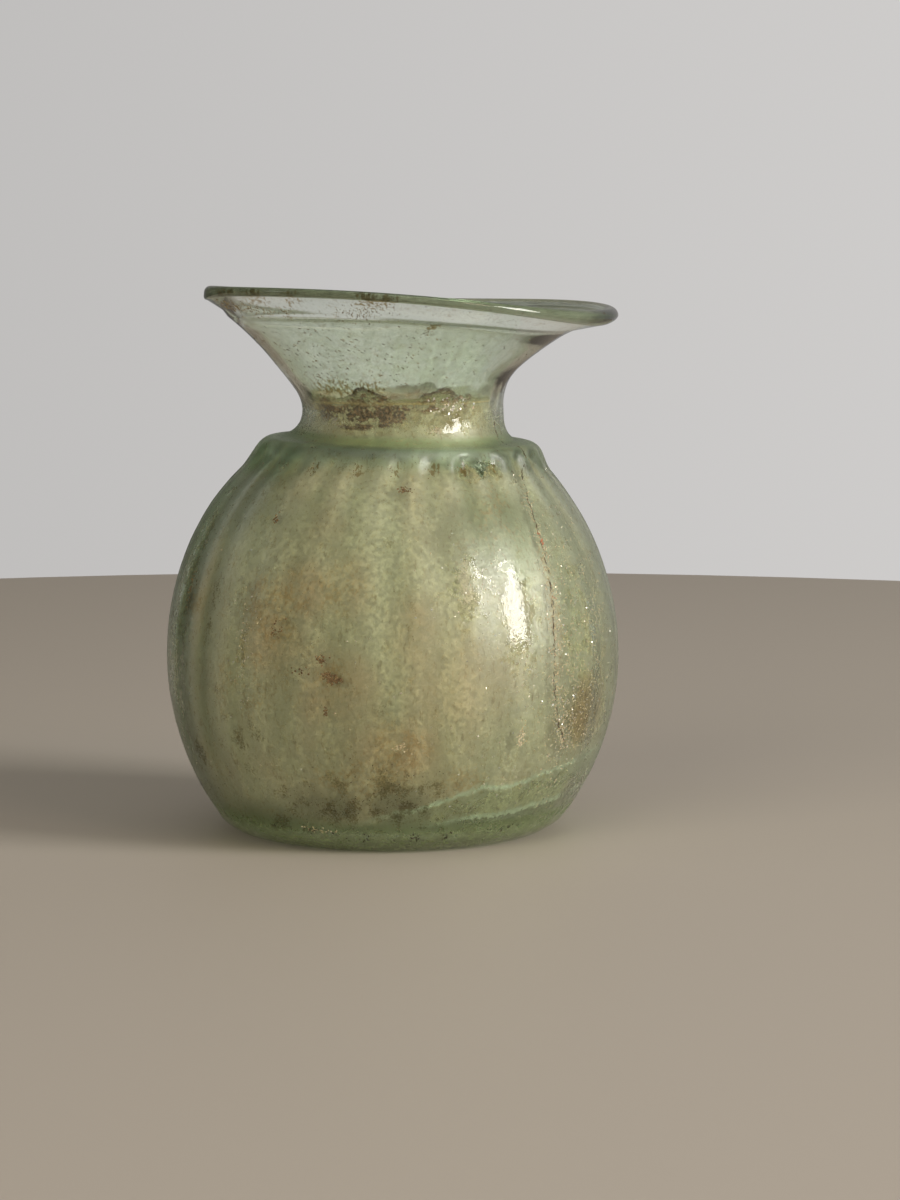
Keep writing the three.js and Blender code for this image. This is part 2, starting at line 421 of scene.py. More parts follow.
# Soft cloudy patches, stretched upright where the glass was drawn.
def makeClouds():
    group, given, out = newGroup("clouds", {"Size": 8.0, "Stretch": 1.0, "Turn": 0.0, "Seed": 0.0, "Detail": 4.0,
                                            "Low": 0.4, "High": 0.6}, "Mask")
    place = patternPlace(group, given["Size"], given["Stretch"], given["Turn"], given["Seed"])
    grain = addNode(group, "ShaderNodeTexNoise", {"Vector": place, "Scale": 1.0, "Detail": given["Detail"],
                                                  "Roughness": 0.6})
    group.links.new(span(group, grain.outputs["Fac"], given["Low"], given["High"]), out)
    return group


# Scattered specks: a share of the cells of a random pattern holds one dot.
def makeSpecks():
    group, given, out = newGroup("specks", {"Size": 2.0, "Stretch": 1.0, "Turn": 0.0, "Seed": 0.0, "Share": 0.1,
                                            "Dot": 0.25}, "Mask")
    place = patternPlace(group, given["Size"], given["Stretch"], given["Turn"], given["Seed"])
    ragged = addNode(group, "ShaderNodeTexNoise", {"Vector": place, "Scale": 3.0, "Detail": 2.0})
    cells = addNode(group, "ShaderNodeTexVoronoi", {"Vector": place, "Scale": 1.0})
    pick = addNode(group, "ShaderNodeSeparateColor", {0: cells.outputs["Color"]}).outputs[0]
    chosen = maths(group, "LESS_THAN", pick, given["Share"])
    edge = maths(group, "MULTIPLY", given["Dot"], maths(group, "MULTIPLY", ragged.outputs["Fac"], 2.0))
    dot = span(group, cells.outputs["Distance"], edge, maths(group, "MULTIPLY", edge, 0.6))
    group.links.new(maths(group, "MULTIPLY", dot, chosen), out)
    return group


clouds = makeClouds()
specks = makeSpecks()


def pattern(tree, group, **values):
    made = addNode(tree, "ShaderNodeGroup", node_tree=group)
    for name, value in values.items():
        made.inputs[name.capitalize()].default_value = value
    return made.outputs["Mask"]


def heightOf(tree):
    place = addNode(tree, "ShaderNodeTexCoord").outputs["Object"]
    return maths(tree, "DIVIDE", addNode(tree, "ShaderNodeSeparateXYZ", {0: place}).outputs[2], mm)


def painted(tree, name):
    return addNode(tree, "ShaderNodeAttribute", attribute_name=name).outputs["Fac"]


# Lets a painted amount through a grain, so that a soft mark breaks up into the grain's own shapes.
def broken(tree, amount, grain, edge):
    return span(tree, maths(tree, "ADD", amount, grain), 1 - edge, 1 + edge)


def strongest(tree, *masks):
    result = masks[0]
    for mask in masks[1:]:
        result = maths(tree, "MAXIMUM", result, mask)
    return result


# Camera, as the photograph was taken
view = {"place": (0.0103, -0.686, 0.121), "lookDown": 6.66, "lens": 115.65, "sensor": 36.0}
cameraData = bpy.data.cameras.new("camera")
cameraData.lens = view["lens"]
cameraData.sensor_width = view["sensor"]
camera = bpy.data.objects.new("camera", cameraData)
camera.location = view["place"]
camera.rotation_euler = (math.radians(90 - view["lookDown"]), 0, 0)
scene.collection.objects.link(camera)
scene.camera = camera

# Room: a pale round floor, a grey surround and the light of one large window
room = {
    "floorRadius": 0.42, "floorColour": (0.49, 0.44, 0.375),
    "backdrop": (0.505, 0.495, 0.487), "backdropRight": 0.26,
    "shade": (0.05, 0.047, 0.04), "fromFront": (0.30, 0.28, 0.24), "fromWall": (0.36, 0.35, 0.34),
}
lights = {
    "window": {"turn": 66, "rise": 20, "away": 1.5, "size": (0.52, 0.8), "power": 21.0, "colour": (1.0, 0.97, 0.93)},
    "curtain": {"turn": 42, "rise": 30, "away": 1.5, "size": (0.36, 0.5), "power": 2.2, "colour": (1.0, 0.78, 0.64)},
    "farSide": {"turn": -82, "rise": 20, "away": 1.5, "size": (0.4, 0.7), "power": 0.6, "colour": (0.9, 0.95, 1.0)},
    "above": {"turn": 20, "rise": 78, "away": 1.5, "size": (1.2, 1.2), "power": 3.0, "colour": (1.0, 0.98, 0.96)},
    "fill": {"turn": -34, "rise": 18, "away": 1.5, "size": (1.0, 1.0), "power": 9.2, "colour": (1.0, 0.93, 0.82),
             "glints": False},
}


def makeFloor():
    material, tree, out = newMaterial("floor")
    shader = addNode(tree, "ShaderNodeBsdfPrincipled", {"Base Color": (*room["floorColour"], 1), "Roughness": 0.55})
    tree.links.new(shader.outputs[0], out.inputs["Surface"])
    bm = bmesh.new()
    bmesh.ops.create_circle(bm, cap_ends=True, segments=96, radius=room["floorRadius"])
    mesh = bpy.data.meshes.new("floor")
    bm.to_mesh(mesh)
    bm.free()
    mesh.materials.append(material)
    floor = bpy.data.objects.new("floor", mesh)
    scene.collection.objects.link(floor)


def makeLight(name, values):
    data = bpy.data.lights.new(name, "AREA")
    data.shape = "RECTANGLE"
    data.size, data.size_y = values["size"]
    data.energy = values["power"]
    data.color = values["colour"]
    light = bpy.data.objects.new(name, data)
    turn, rise = math.radians(values["turn"]), math.radians(values["rise"])
    aim = Vector((math.sin(turn) * math.cos(rise), -math.cos(turn) * math.cos(rise), math.sin(rise)))
    light.location = Vector((0, 0, 0.05)) + aim * values["away"]
    light.rotation_euler = aim.to_track_quat("Z", "Y").to_euler()
    light.visible_camera = False
    light.visible_glossy = values.get("glints", True)
    light.visible_transmission = False
    scene.collection.objects.link(light)


def makeWorld():
    world = bpy.data.worlds.new("room")
    world.use_nodes = True
    tree = world.node_tree
    tree.nodes.clear()
    out = tree.nodes.new("ShaderNodeOutputWorld")
    toward = addNode(tree, "ShaderNodeSeparateXYZ", {0: addNode(tree, "ShaderNodeTexCoord").outputs["Generated"]})
    path = addNode(tree, "ShaderNodeLightPath").outputs
    seen = strongest(tree, path["Is Camera Ray"], path["Is Transmission Ray"])
    right = span(tree, toward.outputs[0], -0.25, 0.25)
    backdrop = room["backdrop"]
    brighter = tuple(c * (1 + room["backdropRight"]) for c in backdrop)
    wall = blendColour(tree, right, backdrop, brighter)
    front = maths(tree, "MULTIPLY", span(tree, toward.outputs[1], -0.35, -0.95),
                  span(tree, toward.outputs[0], -0.75, -0.1))
    behind = maths(tree, "MULTIPLY", span(tree, toward.outputs[1], 0.1, 0.8), span(tree, toward.outputs[0], -0.5, 0.3))
    light = blendColour(tree, front, room["shade"], room["fromFront"])
    light = blendColour(tree, behind, light, room["fromWall"])
    sky = addNode(tree, "ShaderNodeBackground", {"Color": blendColour(tree, seen, light, wall)})
    tree.links.new(sky.outputs[0], out.inputs["Surface"])
    scene.world = world


makeFloor()
for lightName, lightValues in lights.items():
    makeLight(lightName, lightValues)
makeWorld()
scene.view_settings.view_transform = "Standard"
scene.cycles.use_denoising = True
scene.cycles.max_bounces = 10
scene.cycles.transmission_bounces = 8
scene.cycles.transparent_max_bounces = 24
scene.cycles.glossy_bounces = 4
scene.cycles.diffuse_bounces = 3
scene.cycles.caustics_reflective = False
scene.cycles.caustics_refractive = False
scene.cycles.sample_clamp_indirect = 6.0
print("room, lights and camera are set")

# The glass itself
glass = {
    "segments": 312, "ior": 1.5, "colour": (0.92, 0.95, 0.89),
    "tint": (0.40, 0.62, 0.30), "tintDensity": 34.0, "shadowTint": (0.93, 0.96, 0.91),
    "cleanRoughness": 0.05, "satin": (0.28, 0.46), "polished": 0.06, "bumps": 0.000026,
    "worn": (0.77, 0.78, 0.67), "tan": (0.66, 0.53, 0.33), "smudge": (0.20, 0.175, 0.095),
    "stain": (0.25, 0.17, 0.07), "deep": (0.24, 0.36, 0.17),
    "polishMarks": [(34.5, 42, 8, 14, 0.9), (21, 46.5, 9, 8, 0.73), (26, 74.5, 30, 4.0, 1.0), (34, 66, 18, 2.6, 0.8),
                    (-20, 75.5, 60, 4, 0.7), (0, 1, 1000, 5, 1.0), (50, 8, 50, 7, 0.9), (62, 24, 14, 10, 1.5), (-38.9, 36, 3, 9, 0.5), (60, 34, 18, 24, 0.5),
                    (-70, 40, 10, 34, 0.6), (180, 30, 60, 20, 0.4)],
    "tanMarks": [(-34.8, 44.6, 9, 7, 0.5), (-24, 46, 9, 5, 0.42), (-12.8, 47, 9, 6, 0.35), (-14.3, 32.4, 6, 3, 0.62),
                 (-29, 40, 7, 5, 0.5), (3, 20, 10, 5, 0.4), (35, 60, 10, 8, 0.3), (46, 42, 3, 18, 0.5),
                 (-63, 43, 4, 5, 0.6), (-8, 14, 20, 5, 0.5), (20, 14, 10, 4, 0.42), (-36, 30, 16, 10, 0.3),
                 (150, 30, 20, 14, 0.5), (-140, 46, 16, 10, 0.5), (100, 50, 10, 10, 0.4)],
    "smudgeMarks": [(-13, 8.6, 12, 3.4, 0.46), (-2.5, 12.6, 10, 3.2, 0.4), (11, 12.0, 10, 3.4, 0.36),
                    (-27, 10, 12, 4.6, 0.36), (4, 8.6, 13, 3.0, 0.46), (-36, 5, 10, 2.4, 0.4), (-4, 11, 34, 8, 0.28),
                    (12, 5.0, 9, 1.0, 0.4), (-63, 15, 6, 6, 0.42), (-64, 43, 2.4, 3, 0.6), (-52, 40, 2, 12, 0.4),
                    (-40, 20, 10, 9, 0.3), (-90, 8, 20, 4, 0.5), (160, 8, 30, 4, 0.5), (-150, 12, 14, 5, 0.5),
                    (86, 94.4, 13, 2.2, 0.8)],
    "stainMarks": [(-62, 93.9, 9, 1.4, 0.6), (-48, 93.6, 9, 1.7, 0.65), (-34, 93.6, 5, 1.7, 0.5),
                   (-9, 93.8, 9, 1.8, 0.72), (12.5, 90, 2.2, 0.7, 0.8), (-34, 79.6, 22, 1.8, 0.6), (-14, 79.8, 12, 1.5, 0.5),
                   (-80, 86, 16, 7, 0.42), (82, 84, 16, 7, 0.5), (120, 92, 14, 2, 0.6), (-150, 93, 16, 2, 0.6),
                   (-32, 66.3, 2.4, 1.8, 0.5), (-14, 66.3, 2.4, 1.8, 0.62), (0.4, 66.3, 2.4, 1.8, 0.5),
                   (15, 66.3, 2.4, 1.8, 0.6), (28, 66.3, 2.4, 1.8, 0.6), (42, 66.3, 2.4, 1.8, 0.45)],
    # Darker green marks on the glass: partly the tint of thick glass at the ledge and lip, partly painted shade in the
    # groove under the ledge, in the rib hollows and on the flank to the left, and painted shade that dims the window's
    # glow over the upper right.
    "deepMarks": [(0, 70.4, 1000, 1.7, 1.0), (-74, 67, 24, 5, 1.0), (-50, 66.5, 18, 5, 0.8), (78, 66, 14, 4, 0.5),
                  (30, 67, 26, 5, 0.5), (34, 56, 24, 12, 0.66),
                  (-68.5, 36, 6.5, 40, 0.9), (-80, 57, 16, 16, 0.8), (-55.4, 30, 4, 26, 0.5), (-43, 26, 3, 20, 0.3),
                  (-45, 5, 30, 5, 0.5), (80, 40, 6, 30, 0.3), (60, 40, 24, 30, 0.36), (0, 0.8, 1000, 3.4, 0.2),
                  (-90, 86, 14, 8, 0.95), (92, 85, 16, 8, 1.0), (84, 94, 26, 5, 1.0)],
}


def glassMaterial():
    material, tree, out = newMaterial("old_glass")
    outside = painted(tree, "outside")
    onBody = span(tree, heightOf(tree), 82, 70)
    grit = pattern(tree, clouds, size=0.7, detail=2.0, low=0.3, high=0.7, seed=9.0)
    dust = pattern(tree, clouds, size=0.32, detail=1.0, low=0.32, high=0.68, seed=5.0)
    patches = pattern(tree, clouds, size=2.4, stretch=1.3, detail=2.0, low=0.3, high=0.7, seed=4.0)
    streaks = pattern(tree, clouds, size=0.6, stretch=3.5, detail=2.0, low=0.3, high=0.7, seed=7.0)
    mixed = maths(tree, "ADD", maths(tree, "MULTIPLY", grit, 0.55), maths(tree, "MULTIPLY", patches, 0.45))
    coarse = maths(tree, "ADD", maths(tree, "MULTIPLY", grit, 0.3), maths(tree, "MULTIPLY", patches, 0.7))
    shine = broken(tree, painted(tree, "polish"), coarse, 0.12)
    satin = span(tree, dust, 0, 1, *glass["satin"])
    dull = addNode(tree, "ShaderNodeMix", {0: shine, 2: satin, 3: glass["polished"]}).outputs[0]
    rough = addNode(tree, "ShaderNodeMix", {0: onBody, 2: glass["cleanRoughness"], 3: dull}).outputs[0]
    worn = maths(tree, "MULTIPLY", maths(tree, "ADD", maths(tree, "MULTIPLY", dust, 0.5),
                                         maths(tree, "MULTIPLY", mixed, 0.5)), onBody)
    worn = maths(tree, "MULTIPLY", worn, span(tree, heightOf(tree), 2.5, 8, 0.25, 1.0))
    worn = maths(tree, "MULTIPLY", worn, span(tree, painted(tree, "deep"), 0, 1, 1.0, 0.3))
    # Painted shade and thick-glass tint: the base colour goes dark green where these marks are.
    colour = blendColour(tree, maths(tree, "MULTIPLY", painted(tree, "deep"), 0.9), (*glass["colour"],), glass["deep"])
    colour = blendColour(tree, worn, colour, addNode(tree, "ShaderNodeMix", {
        0: 1.0, 6: colour, 7: (*glass["worn"], 1)}, data_type="RGBA", blend_type="MULTIPLY").outputs[2])
    colour = blendColour(tree, broken(tree, painted(tree, "tan"), mixed, 0.42), colour, glass["tan"])
    colour = blendColour(tree, broken(tree, painted(tree, "smudge"), maths(tree, "ADD", maths(
        tree, "MULTIPLY", dust, 0.35), maths(tree, "MULTIPLY", patches, 0.65)), 0.26), colour, glass["smudge"])
    colour = blendColour(tree, broken(tree, painted(tree, "stain"), streaks, 0.22), colour, glass["stain"])
    colour = blendColour(tree, outside, glass["colour"], colour)
    bump = addNode(tree, "ShaderNodeBump", {"Height": maths(tree, "MULTIPLY", mixed, onBody), "Strength": 1.0,
                                            "Distance": glass["bumps"]})
    shader = addNode(tree, "ShaderNodeBsdfPrincipled", {
        "Base Color": colour, "Roughness": rough, "Metallic": 0.0, "IOR": glass["ior"],
        "Transmission Weight": 1.0, "Normal": bump.outputs[0]})
    clear = addNode(tree, "ShaderNodeBsdfTransparent", {"Color": (*glass["shadowTint"], 1)})
    path = addNode(tree, "ShaderNodeLightPath").outputs
    throughRay = strongest(tree, path["Is Shadow Ray"], path["Is Diffuse Ray"])
    both = addNode(tree, "ShaderNodeMixShader", {0: throughRay, 1: shader.outputs[0], 2: clear.outputs[0]})
    tree.links.new(both.outputs[0], out.inputs["Surface"])
    deep = addNode(tree, "ShaderNodeVolumeAbsorption", {"Color": (*glass["tint"], 1),
                                                        "Density": glass["tintDensity"]})
    tree.links.new(deep.outputs[0], out.inputs["Volume"])
    return material


glassBm, outsideLayer, beadLayer = spinLine(
    [(outsideLine(), 1.0, 0.0), (beadLine(), 1.0, 1.0), (insideLine(), 0.0, 0.0)], glass["segments"], False)
for markName in ("polish", "tan", "smudge", "stain", "deep"):
    paint(glassBm, markName, lambda azimuth, height: markAt(glass[markName + "Marks"], azimuth, height))
shapeWall(glassBm, outsideLayer, beadLayer)
wallTree = BVHTree.FromBMesh(glassBm)        # in millimetres, to set marks on the outside
glassPiece = makePiece("vase_glass", glassBm, glassMaterial())
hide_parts("glass_vase")


# Point and outward direction on the outside, at an azimuth from the front to the right and a height.
def onWall(azimuth, height):
    turn = math.radians(azimuth)
    out = Vector((math.sin(turn), -math.cos(turn), 0))
    place, normal, _, _ = wallTree.ray_cast(out * 80 + Vector((0, 0, height)), -out)
    return place, normal


# Cloudy glass deep in the thick lip and heel, which keeps them from looking black
cloudy = {
    "segments": 312, "sides": 12, "share": 0.55, "heelTop": 7.0, "heelDepth": 0.5, "heelThickness": 0.3,
    "lipColour": (0.30, 0.34, 0.24), "heelColour": (0.36, 0.43, 0.22), "alpha": 0.5, "roughness": 0.6,
    "clearMarks": [(84, 94, 34, 9, 1.0), (-96, 94, 20, 9, 0.8)],
}


def cloudyMaterial():
    material, tree, out = newMaterial("cloudy_glass")
    streaks = pattern(tree, clouds, size=1.2, stretch=0.5, detail=3.0, low=0.3, high=0.7, seed=13.0)
    colour = blendColour(tree, painted(tree, "onLip"), cloudy["heelColour"], cloudy["lipColour"])
    alpha = span(tree, streaks, 0, 1, cloudy["alpha"] * 0.6, cloudy["alpha"])
    alpha = maths(tree, "MULTIPLY", alpha, painted(tree, "share"))
    shader = addNode(tree, "ShaderNodeBsdfPrincipled", {
        "Base Color": colour, "Roughness": cloudy["roughness"], "Alpha": alpha})
    tree.links.new(shader.outputs[0], out.inputs["Surface"])
    return material


# The two rings are spun apart and put together in one mesh.
def makeCloudy():
    radius = vase["lipBead"] * cloudy["share"]
    centre = spot(vase["lipRadius"] - vase["lipBead"], vase["lipHeight"] - vase["lipBead"])
    angles = [2 * math.pi * i / cloudy["sides"] for i in range(cloudy["sides"])]
    ring = [centre + spot(radius * math.cos(a), radius * math.sin(a)) for a in angles]
    heel = [p for p in outsideLine() if p.z < cloudy["heelTop"] and p.x > vase["footRadius"] - 1]
    near = offsetLine(heel, -cloudy["heelDepth"])
    far = offsetLine(heel, -cloudy["heelDepth"] - cloudy["heelThickness"])
    whole = bmesh.new()
    for parts in ([(ring, 0.0, 1.0)], [(near, 1.0, 0.0), (far[::-1], 1.0, 0.0)]):
        bm, outside, bead = spinLine(parts, cloudy["segments"], True)
        paint(bm, "onLip", lambda azimuth, height: smooth(height, 50, 60))
        paint(bm, "share", lambda azimuth, height: (1 - 0.85 * markAt(cloudy["clearMarks"], azimuth, height))
              * (1 - smooth(height, 3, cloudy["heelTop"]) * (1 - smooth(height, 50, 60))))
        shapeWall(bm, outside, bead)
        endBatch(whole, bm)
    return makePiece("cloudy_glass", whole, cloudyMaterial())


makeCloudy()

# The film of dirt and decayed glass on the inside, which also carries painted shade, a painted highlight ring under
# the lip and a painted view of a brown table
film = {
    "segments": 260, "gap": 0.06, "thickness": 0.1, "top": 92.3, "neckEdge": 77.0, "paintedLightBand": 91.5,
    "sage": (0.55, 0.50, 0.34), "tan": (0.60, 0.43, 0.26), "pale": (0.68, 0.64, 0.50), "shadeAndDirt": (0.12, 0.12, 0.055),
    "hollowShade": (0.22, 0.26, 0.12), "haze": (0.58, 0.66, 0.54), "aqua": (0.42, 0.48, 0.28), "tide": (0.66, 0.76, 0.60),
    "paintedLightBandColour": (0.78, 0.78, 0.70), "brown": (0.34, 0.235, 0.12), "lowTide": 0.58,
    "alpha": (0.58, 0.84), "clearAlpha": 0.34, "hazeAlpha": (0.04, 0.17), "shade": 0.68, "roughness": 0.62,
    "tanMarks": [(-31.4, 38, 14, 9, 0.9), (-24, 46, 12, 8, 1.0), (-12.8, 47, 12, 8, 0.7), (35, 60, 16, 12, 0.3),
                  (3, 20, 14, 7, 0.9), (-14, 31, 14, 9, 0.8), (20, 30, 18, 12, 0.45), (-60, 44, 8, 12, 0.7),
                  (5, 40, 10, 9, 0.5), (120, 40, 20, 14, 0.9), (-130, 30, 20, 16, 0.9), (170, 50, 24, 10, 0.7)],
    # Painted shade, with some dirt at the foot: the film is darker in the rib hollows and on the flank to the left, at
    # the heel, and over the upper right where the window's glow is dimmed.
    "shadeAndDirtMarks": [(-20, 9, 16, 5, 0.8), (2, 10, 14, 5, 0.7), (-68.5, 38, 7, 36, 0.9),
                  (-55.4, 34, 4, 26, 0.45), (-62, 61, 26, 11, 0.9), (-38, 6, 20, 5, 0.7), (-88, 40, 10, 30, 0.4),
                 (30, 55, 26, 13, 0.5), (36, 36, 20, 18, 0.14)],
    # Painted reflection: a brown patch at the lower right that stands in for a brown table seen through the glass.
    "brownMarks": [(61, 23.5, 13, 9.5, 1.0)],
    "hazeMarks": [(-70, 84, 34, 9, 1.0), (80, 84, 30, 10, 0.9), (-30, 79, 25, 3, 0.8), (40, 79, 22, 3, 0.6),
                   (160, 84, 40, 7, 0.7)],
}


# Height of the upper tide line, where the film thins out towards the foot; the lower one is at a share of it.
def tideHeight(azimuth):
    a = apart(azimuth, 0)
    rise = 5.6 * smooth(a, -25, 26) + 5.0 * smooth(a, 10, 75) - 10.6 * smooth(a, 95, 170)
    ripple = noise.noise(Vector((a * 0.06, 0, 4))) * 1.0 + noise.noise(Vector((a * 0.35, 5, 0))) * 0.45
    return 5.2 + rise + ripple * (1 - smooth(abs(a), 140, 175))


# 1 at one height, fading to nothing over a width above and below it.
def lineAt(tree, height, level, width):
    away = maths(tree, "ABSOLUTE", maths(tree, "SUBTRACT", height, level))
    return span(tree, away, width, maths(tree, "MULTIPLY", width, 0.3))


def filmMaterial():
    material, tree, out = newMaterial("inside_film")
    streaks = pattern(tree, clouds, size=4.5, stretch=5.0, detail=3.0, low=0.35, high=0.65, seed=2.0)
    broad = pattern(tree, clouds, size=14.0, stretch=1.4, detail=4.0, low=0.38, high=0.62, seed=6.0)
    fine = pattern(tree, clouds, size=0.7, stretch=1.2, detail=3.0, low=0.3, high=0.7, seed=8.0)
    height = heightOf(tree)
    tide = painted(tree, "tide")
    lowTide = maths(tree, "MULTIPLY", tide, film["lowTide"])
    wandering = maths(tree, "ADD", height, span(tree, fine, 0, 1, -0.25, 0.25))
    clear = strongest(tree, span(tree, maths(tree, "SUBTRACT", wandering, lowTide), 0, -0.8),
                      span(tree, maths(tree, "SUBTRACT", wandering, tide), 0, -1.0, 0, 0.4))
    line = strongest(tree, lineAt(tree, wandering, tide, 0.55),
                     maths(tree, "MULTIPLY", lineAt(tree, wandering, lowTide, 0.7), 0.9))
    line = maths(tree, "MULTIPLY", line, painted(tree, "tideSide"))
    tan = maths(tree, "MULTIPLY", painted(tree, "tan"), span(tree, fine, 0, 1, 0.55, 1.0))
    tan = maths(tree, "ADD", tan, maths(tree, "MULTIPLY", broad, 0.4), clamp=True)
    colour = blendColour(tree, tan, film["sage"], film["tan"])
    colour = blendColour(tree, maths(tree, "MULTIPLY", streaks, 0.18), colour, film["pale"])
    # Painted shade: the film is darker green in the hollows between the ribs.
    colour = blendColour(tree, maths(tree, "MULTIPLY", painted(tree, "hollow"), 0.4), colour, film["hollowShade"])
    # Painted shade, with some dirt at the foot, darkens the film where these marks are.
    colour = blendColour(tree, maths(tree, "MULTIPLY", painted(tree, "shadeAndDirt"), 0.7), colour, film["shadeAndDirt"])
    # Painted reflection of a brown table seen through the glass at the lower right.
    colour = blendColour(tree, painted(tree, "brown"), colour, film["brown"])
    colour = blendColour(tree, maths(tree, "MULTIPLY", clear, 1.4, clamp=True), colour, film["aqua"])
    colour = blendColour(tree, line, colour, film["tide"])
    grain = span(tree, fine, 0, 1, 0.84, 1.1)
    grainColour = addNode(tree, "ShaderNodeCombineXYZ", {0: grain, 1: grain, 2: grain}).outputs[0]
    colour = addNode(tree, "ShaderNodeMix", {0: 1.0, 6: colour, 7: grainColour}, data_type="RGBA",
                     blend_type="MULTIPLY").outputs[2]
    colour = blendColour(tree, painted(tree, "onFunnel"), colour, film["haze"])
    # Painted highlight: a pale ring round the funnel just under the lip bead, standing in for reflected light.
    colour = blendColour(tree, painted(tree, "paintedLightBand"), colour, film["paintedLightBandColour"])
    alpha = span(tree, maths(tree, "MULTIPLY", streaks, fine), 0, 0.6, *film["alpha"])
    alpha = maths(tree, "MULTIPLY", alpha, span(tree, clear, 0, 1, 1.0, film["clearAlpha"]))
    alpha = maths(tree, "MAXIMUM", alpha, maths(tree, "MULTIPLY", line, 0.62))
    frost = pattern(tree, clouds, size=2.0, stretch=0.8, detail=5.0, low=0.36, high=0.7, seed=12.0)
    haze = maths(tree, "MULTIPLY", painted(tree, "haze"), span(tree, broad, 0, 1, 0.5, 1.0))
    haze = maths(tree, "ADD", maths(tree, "MULTIPLY", haze, 0.3), span(tree, frost, 0, 1, *film["hazeAlpha"]))
    haze = strongest(tree, haze, maths(tree, "MULTIPLY", painted(tree, "paintedLightBand"), 0.42))
    alpha = addNode(tree, "ShaderNodeMix", {0: painted(tree, "onFunnel"), 2: alpha, 3: haze}).outputs[0]
    shader = addNode(tree, "ShaderNodeBsdfPrincipled", {
        "Base Color": colour, "Roughness": film["roughness"], "Alpha": alpha})
    passed = span(tree, painted(tree, "onFunnel"), 0, 1, 1 - film["shade"], 0.95)
    veil = addNode(tree, "ShaderNodeBsdfTransparent", {"Color": passed})
    shadow = addNode(tree, "ShaderNodeLightPath").outputs["Is Shadow Ray"]
    both = addNode(tree, "ShaderNodeMixShader", {0: shadow, 1: shader.outputs[0], 2: veil.outputs[0]})
    tree.links.new(both.outputs[0], out.inputs["Surface"])
    return material


def makeFilm():
    line = [p for p in insideLine() if p.z < film["top"]]
    near = offsetLine(line, film["gap"])
    far = offsetLine(line, film["gap"] + film["thickness"])
    bm, outside, _ = spinLine([(near, 0.0, 0.0), (far[::-1], 0.0, 0.0)], film["segments"], False)
    for name in ("tan", "shadeAndDirt", "brown", "haze"):
        paint(bm, name, lambda azimuth, height: markAt(film[name + "Marks"], azimuth, height))
    # Where the painted shade of the rib hollows goes, fading out towards the foot and the ledge.
    paint(bm, "hollow", lambda azimuth, height: min(ribHollow(azimuth, height), 1) * smooth(height, 5, 20)
          * (1 - smooth(height, 62, 68)))
    paint(bm, "tide", lambda azimuth, height: tideHeight(azimuth))
    paint(bm, "tideSide", lambda azimuth, height: smooth(azimuth, -20, 12) * (1 - smooth(azimuth, 130, 170)))
    # Where the painted highlight ring under the lip goes.
    paint(bm, "paintedLightBand", lambda azimuth, height: max(0.0, 1 - abs(height - film["paintedLightBand"]) / 0.9))
    paint(bm, "onFunnel", lambda azimuth, height: smooth(height, film["neckEdge"] - 0.3, film["neckEdge"] + 0.3))
    shapeWall(bm, outside)
    return makePiece("inside_film", bm, filmMaterial())


makeFilm()

# The crust inside the neck, with a ragged upper edge
crust = {
    "segments": 312, "gap": 0.03, "low": 71.0, "high": 77.9, "thin": 0.12, "thick": 0.4, "rim": 0.5,
    "gold": (0.74, 0.58, 0.30), "brown": (0.42, 0.27, 0.17), "umber": (0.13, 0.075, 0.045),
    "tan": (0.46, 0.36, 0.19), "olive": (0.38, 0.38, 0.16), "roughness": 0.2,
    "brownMarks": [(-50, 75.6, 18, 3.4, 0.7), (-28, 75.4, 22, 3.4, 0.72), (-8, 75.6, 20, 3.4, 0.76),
                    (14, 76.6, 14, 1.8, 0.55), (-26, 72.6, 18, 1.3, 0.74), (-9, 73.4, 10, 1.6, 0.7),
                    (34, 77, 18, 1.6, 0.5), (80, 75, 18, 4, 0.6), (170, 75, 60, 4, 0.5)],
    "line": 77.25, "lineWidth": 0.42, "mounds": [(-20, 11, 2.0), (19, 8, 1.5), (30, 6, 2.3), (44, 4, 1.3), (-60, 16, 0.5), (100, 20, 1.0),
               (170, 25, 1.2)],
}


def crustMaterial():
    material, tree, out = newMaterial("neck_crust")
    patches = pattern(tree, clouds, size=1.5, stretch=0.8, detail=5.0, low=0.3, high=0.7, seed=1.0)
    fine = pattern(tree, clouds, size=0.5, detail=3.0, low=0.3, high=0.7, seed=3.0)
    mixed = maths(tree, "ADD", maths(tree, "MULTIPLY", patches, 0.65), maths(tree, "MULTIPLY", fine, 0.35))
    brown = broken(tree, painted(tree, "brown"), mixed, 0.1)
    umber = broken(tree, maths(tree, "MULTIPLY", painted(tree, "brown"), 0.8), fine, 0.3)
    colour = blendColour(tree, fine, crust["gold"], crust["tan"])
    colour = blendColour(tree, maths(tree, "MULTIPLY", painted(tree, "mound"), 0.85), colour, crust["olive"])
    colour = blendColour(tree, brown, colour, blendColour(tree, umber, crust["brown"], crust["umber"]))
    colour = blendColour(tree, painted(tree, "rim"), colour, crust["gold"])
    colour = blendColour(tree, painted(tree, "edge"), colour, crust["umber"])
    bump = addNode(tree, "ShaderNodeBump", {"Height": fine, "Strength": 0.8, "Distance": 0.0003})
    thin = maths(tree, "MULTIPLY", span(tree, patches, 0.35, 0.75), 0.35)
    alpha = strongest(tree, maths(tree, "MULTIPLY", brown, 0.8), thin, maths(tree, "MULTIPLY", painted(tree, "rim"), 0.8),
                      maths(tree, "MULTIPLY", painted(tree, "mound"), 0.45), maths(tree, "MULTIPLY", painted(tree, "edge"), 0.7))
    shader = addNode(tree, "ShaderNodeBsdfPrincipled", {
        "Base Color": colour, "Roughness": crust["roughness"], "Alpha": alpha, "Normal": bump.outputs[0]})
    tree.links.new(shader.outputs[0], out.inputs["Surface"])
    return material


